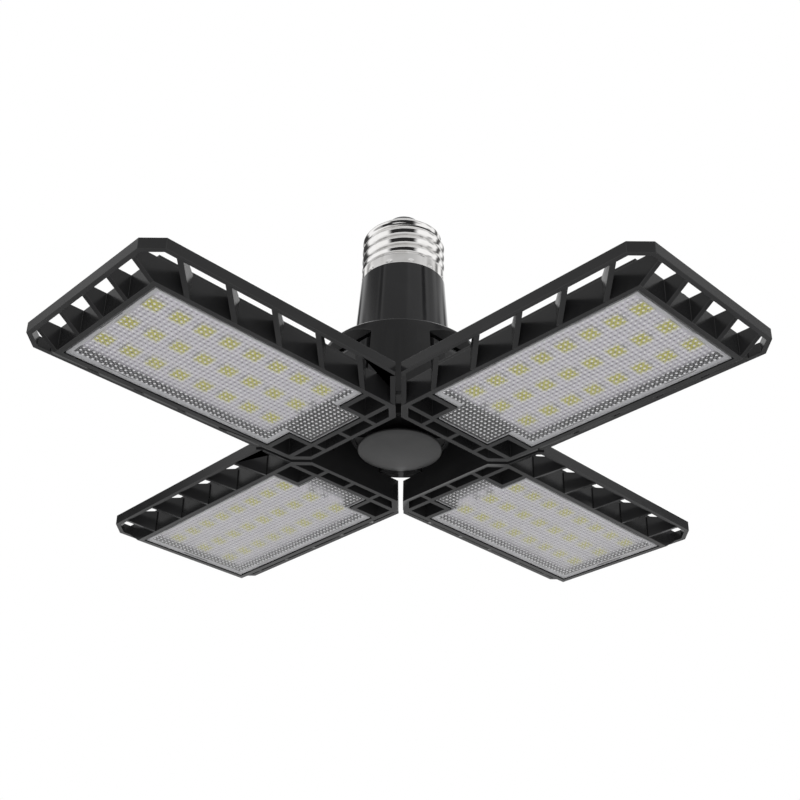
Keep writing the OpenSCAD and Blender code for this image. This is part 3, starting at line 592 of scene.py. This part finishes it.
for panel in panels:
    paint(cad_nodes["heat_pad_" + panel], pad_grey)
    paint(cad_nodes["led_board_" + panel], board_white)
    paint(on_panel("board_fittings", panel, board_fittings, "board_white"), track_white, solder)

# ---------------------------------------------------------------- LEDs
# Each LED is a square white moulding with a sloping reflector wall round a domed fill of yellow phosphor, on
# two tinned feet.

led_half, led_h = 0.0025, 0.0008
fill_half, fill_deep, fill_dome = led_half - 0.00034, 0.00022, 0.00010
foot_size = np.array([0.0005, 0.0022, 0.00022])


def spread_out(name, one, faces, places):
    """Copies of one small shape at each place, as one mesh."""
    points = (np.column_stack([places, np.zeros(len(places))])[:, None] + one[None]).reshape(-1, 3)
    every = [[i + k * len(one) for i in f] for k in range(len(places)) for f in faces]
    mesh = bpy.data.meshes.new(name)
    mesh.from_pydata(points.tolist(), [], every)
    return mesh


def led_package(name):
    """One LED as three parts, copied to each place: the moulding is five square rings joined by faces, the
    phosphor a 6 x 6 grid with height = dome (1 - x2)(1 - y2), and the feet two boxes."""
    square = np.array([[-1, -1], [1, -1], [1, 1], [-1, 1]], float)
    top = board_face - led_h
    rings = [(led_half - 0.0001, board_face), (led_half, board_face - 0.0003), (led_half - 0.0001, top),
             (led_half - 0.00022, top), (led_half - 0.0004, top + 0.0003)]
    wall = np.array([[[x * half, y * half, z] for x, y in square] for half, z in rings]).reshape(-1, 3)
    wall_quads = [[4 * k + i, 4 * k + 4 + i, 4 * k + 4 + (i + 1) % 4, 4 * k + (i + 1) % 4]
                  for k in range(len(rings) - 1) for i in range(4)]
    wall_quads += [[0, 1, 2, 3], [16, 19, 18, 17]]
    t = np.linspace(-1, 1, 7)
    x, y = np.meshgrid(t, t, indexing="ij")
    z = top + fill_deep - fill_dome * (1 - x ** 2) * (1 - y ** 2)
    fill = np.stack([x * fill_half, y * fill_half, z], -1).reshape(-1, 3)
    fill_quads = grid_quads(np.arange(49).reshape(7, 7) + len(wall)).tolist()
    feet = np.vstack([np.array([end * led_half - 0.00025, -0.0011, board_face - 0.0002])
                      + box_corners * foot_size for end in (-1, 1)])
    feet_quads = (np.vstack([box_quads, box_quads + 8]) + len(wall) + len(fill)).tolist()
    kinds = [0] * len(wall_quads) + [1] * len(fill_quads) + [2] * len(feet_quads)
    places = [(u, v) for u in led_u for v in led_v]
    mesh = spread_out(name, np.vstack([wall, fill, feet]), wall_quads + fill_quads + feet_quads, places)
    mesh.polygons.foreach_set("material_index", np.array(kinds * len(places), np.int32))
    shape = bmesh.new()
    shape.from_mesh(mesh)
    bmesh.ops.recalc_face_normals(shape, faces=shape.faces)
    shape.to_mesh(mesh)
    shape.free()
    return mesh


led_white = finish("led_moulding", (0.74, 0.73, 0.66), (0.66, 0.65, 0.56), 0.4, 0.5,
                   grain=(0.0004, 1.0, 0.00001), marks=(0.001, 0.5))
phosphor = finish("yellow_phosphor", (0.50, 0.47, 0.03), (0.42, 0.40, 0.03), 0.35, 0.5,
                  grain=(0.0002, 1.0, 0.00002), marks=(0.0008, 0.7))
for panel in panels:
    leds = on_panel("led_packages", panel, led_package, "led_yellow", "leds_" + panel)
    paint(leds, led_white, phosphor, solder)

# ---------------------------------------------------------------- seals and lenses
# A black rubber seal carries each lens. The lens is clear moulded plastic with rows of small domes on its
# inner face, painted pale as a painted glint, with dark hexagons of painted shade between them, and a flat
# frosted border with narrow slots.

cell = 0.001525
dome_r = 0.00036
dome_h = 0.00016
valley_r = 0.00035
lens_face = panel_z + 0.0001
lens_back = panel_z + 0.0013
lens_from, lens_step, lens_to = 0.0258, 0.03395, 0.10075
lens_half, tongue_half = 0.0200, 0.0101
border_w = 0.00135
lens_round = 0.00012
side_slots = ((0.0455, 0.0555), (0.0807, 0.0907))
side_slot_from, side_slot_to = lens_half - 0.00105, lens_half - 0.00075
end_slot_from, end_slot_to, end_slot_half = lens_to - 0.0007, lens_to - 0.00005, 0.005


def outline_plate(name, filled, u, v, low, high, rounding):
    """A closed plate over the cells between the grid lines u and v that filled picks by their middles. Both
    faces and every wall are quads, and rounding is the width of its rounded edges, or 0 for none."""
    made = bmesh.new()
    grid = {}

    def vert(i, j, z):
        if (i, j, z) not in grid:
            grid[i, j, z] = made.verts.new((u[i], v[j], high if z else low))
        return grid[i, j, z]

    full = [[filled((u[i] + u[i + 1]) / 2, (v[j] + v[j + 1]) / 2) for j in range(len(v) - 1)]
            for i in range(len(u) - 1)]
    for i in range(len(u) - 1):
        for j in range(len(v) - 1):
            if not full[i][j]:
                continue
            made.faces.new([vert(i, j, 0), vert(i, j + 1, 0), vert(i + 1, j + 1, 0), vert(i + 1, j, 0)])
            made.faces.new([vert(i, j, 1), vert(i + 1, j, 1), vert(i + 1, j + 1, 1), vert(i, j + 1, 1)])
            for di, dj, a, b in ((-1, 0, (i, j), (i, j + 1)), (1, 0, (i + 1, j + 1), (i + 1, j)),
                                 (0, -1, (i + 1, j), (i, j)), (0, 1, (i, j + 1), (i + 1, j + 1))):
                ni, nj = i + di, j + dj
                if not (0 <= ni < len(u) - 1 and 0 <= nj < len(v) - 1 and full[ni][nj]):
                    made.faces.new([vert(*a, 0), vert(*a, 1), vert(*b, 1), vert(*b, 0)])
    bmesh.ops.recalc_face_normals(made, faces=made.faces)
    if rounding:
        bmesh.ops.dissolve_limit(made, angle_limit=flat_angle, verts=made.verts, edges=made.edges)
        sharp = [e for e in made.edges if e.calc_face_angle(0) > sharp_angle]
        bmesh.ops.bevel(made, geom=sharp, offset=rounding, offset_type="OFFSET", segments=2, profile=0.5,
                        affect="EDGES", clamp_overlap=True)
    mesh = bpy.data.meshes.new(name)
    made.to_mesh(mesh)
    made.free()
    return mesh


def in_lens(u, v):
    """Whether a point lies in the lens's outline, in its wide part or its tongue towards the hub."""
    wide = lens_step < u < lens_to and abs(v) < lens_half
    return wide or (lens_from < u <= lens_step and abs(v) < tongue_half)


def in_border(u, v):
    """Whether a point lies in the frosted border of the wide part, and in none of its slots."""
    if not (lens_step < u < lens_to and abs(v) < lens_half):
        return False
    inner = lens_step + border_w < u < lens_to - border_w and abs(v) < lens_half - border_w
    mouth = u < lens_step + border_w and abs(v) < tongue_half
    side_slot = side_slot_from < abs(v) < side_slot_to and any(a < u < b for a, b in side_slots)
    end_slot = end_slot_from < u < end_slot_to and abs(v) < end_slot_half
    return not (inner or mouth or side_slot or end_slot)


def domes(name):
    """Low domes on a square grid of cells, each a fan of 8: r(k) = dome_r cos k and z(k) = dome_h sin k in
    three rings, closed by a flat base."""
    u = np.arange(lens_step + border_w + 0.0005, lens_to - border_w - 0.0002, cell)
    v = np.arange(-12, 13) * cell
    wide = [(a, b) for a in u for b in v if abs(b) < lens_half - border_w - 0.0003]
    tongue = [(a, b) for a in np.arange(u[0] - cell, lens_from + 0.0003, -cell) for b in v
              if abs(b) < tongue_half - 0.0004]
    turn = np.arange(8) * np.pi / 4
    base = lens_back + 0.00001
    rings = [np.stack([dome_r * np.cos(k) * np.cos(turn), dome_r * np.cos(k) * np.sin(turn),
                       np.full(8, base + dome_h * np.sin(k))], -1) for k in (0, 0.5, 1.0)]
    one = np.vstack(rings + [[[0, 0, base + dome_h]]])
    faces = [[8 * r + i, 8 * r + (i + 1) % 8, 8 * r + 8 + (i + 1) % 8, 8 * r + 8 + i]
             for r in (0, 1) for i in range(8)]
    faces += [[16 + i, 16 + (i + 1) % 8, 24] for i in range(8)] + [list(range(7, -1, -1))]
    return spread_out(name, one, faces, wide + tongue)


def valleys(name):
    """One small flat dark hexagon at each low corner between four domes: painted shade, standing in for the
    dark that the moulding's refraction shows there."""
    u = np.arange(lens_step + border_w + 0.0005 + cell / 2, lens_to - border_w - 0.0005, cell)
    v = np.arange(-11.5, 12) * cell
    turn = np.arange(6) * np.pi / 3
    one = np.stack([valley_r * np.cos(turn), 0.7 * valley_r * np.sin(turn),
                    np.full(6, lens_back + 0.00002)], -1)
    return spread_out(name, one, [[0, 1, 2, 3, 4, 5]], [(a, b) for a in u for b in v])


def joined(name, meshes):
    """One mesh from several, each with its own material number. The first one's upright walls are frosted."""
    made = bmesh.new()
    count = 0
    for number, mesh in enumerate(meshes):
        made.from_mesh(mesh)
        made.faces.ensure_lookup_table()
        for face in made.faces[count:]:
            face.material_index = 2 if number == 0 and abs(face.normal.z) < 0.3 else number
        count = len(made.faces)
    mesh = bpy.data.meshes.new(name)
    made.to_mesh(mesh)
    made.free()
    return mesh


def lens_mesh(name):
    """The lens in one mesh: its clear plate with the domes, painted pale as glints, the frosted border, and
    dark hexagons of painted shade between the domes.
    """
    plate = outline_plate(name, in_lens, [lens_from, lens_step, lens_to],
                          [-lens_half, -tongue_half, tongue_half, lens_half], lens_face, lens_back, lens_round)
    u_lines = sorted([lens_step, lens_step + border_w, *side_slots[0], *side_slots[1], lens_to - border_w,
                      end_slot_from, end_slot_to, lens_to])
    v_half = [end_slot_half, tongue_half, lens_half - border_w, side_slot_from, side_slot_to, lens_half]
    v_lines = sorted(s * x for x in v_half for s in (-1, 1))
    border = outline_plate(name, in_border, u_lines, v_lines, lens_back - 0.00002, lens_back + 0.00012, 0)
    return joined(name, [plate, domes(name), border, valleys(name)])


clear = bpy.data.materials.new("clear_lens_plastic")
clear.use_nodes = True
tree = clear.node_tree
tree.nodes.remove(tree.nodes["Principled BSDF"])
glass = new_node(tree, "ShaderNodeBsdfPrincipled", Metallic=0.0, IOR=1.49, Transmission_Weight=1.0)
fine = new_node(tree, "ShaderNodeGroup", node_tree=fine_grain)
fine.inputs["Size"].default_value = 0.004
fine.inputs["Height"].default_value = 0.000004
worn = new_node(tree, "ShaderNodeGroup", node_tree=handling)
worn.inputs["Amount"].default_value = 0.4
haze = new_node(tree, "ShaderNodeMapRange")
haze.inputs["To Min"].default_value = 0.18
haze.inputs["To Max"].default_value = 0.26
glass.inputs["Base Color"].default_value = (0.97, 0.97, 0.98, 1)
see_through = new_node(tree, "ShaderNodeBsdfTransparent")
path = new_node(tree, "ShaderNodeLightPath")
through = new_node(tree, "ShaderNodeMixShader")
tree.links.new(worn.outputs["Marks"], haze.inputs["Value"])
tree.links.new(haze.outputs[0], glass.inputs["Roughness"])
tree.links.new(fine.outputs["Normal"], glass.inputs["Normal"])
unseen = new_node(tree, "ShaderNodeMath", operation="MAXIMUM")
tree.links.new(path.outputs["Is Shadow Ray"], unseen.inputs[0])
tree.links.new(path.outputs["Is Diffuse Ray"], unseen.inputs[1])
tree.links.new(unseen.outputs[0], through.inputs[0])
tree.links.new(glass.outputs[0], through.inputs[1])
tree.links.new(see_through.outputs[0], through.inputs[2])
tree.links.new(through.outputs[0], tree.nodes["Material Output"].inputs["Surface"])
# Pale domes: their white colour is a painted glint, standing in for the light each clear dome catches
painted_glint_dome = finish("painted_glint_dome", (0.72, 0.72, 0.73), (0.64, 0.64, 0.65), 0.3, 0.45,
                      grain=(0.0003, 1.0, 0.00001), marks=(0.004, 0.5))
frosted_border = finish("frosted_border", (0.38, 0.38, 0.39), (0.33, 0.33, 0.34), 0.45, 0.6,
                        grain=(0.0003, 1.0, 0.00002), marks=(0.008, 0.6))
# Dark hexagons between the domes: painted shade where the moulding's refraction shows dark
painted_shade_valley = finish("painted_shade_valley", (0.13, 0.13, 0.14), (0.17, 0.17, 0.18), 0.3, 0.45,
                     grain=(0.0003, 1.0, 0.00001), marks=(0.004, 0.5))
seal_rubber = finish("seal_rubber", (0.02, 0.02, 0.02), (0.04, 0.04, 0.04), 0.6, 0.75,
                     grain=(0.0004, 1.0, 0.00002), marks=(0.004, 0.6))
for panel in panels:
    paint(cad_nodes["lens_seal_" + panel], seal_rubber)
    lens = on_panel("prism_lens", panel, lens_mesh, "lens_clear", "lens_" + panel)
    paint(lens, clear, painted_glint_dome, frosted_border, painted_shade_valley)
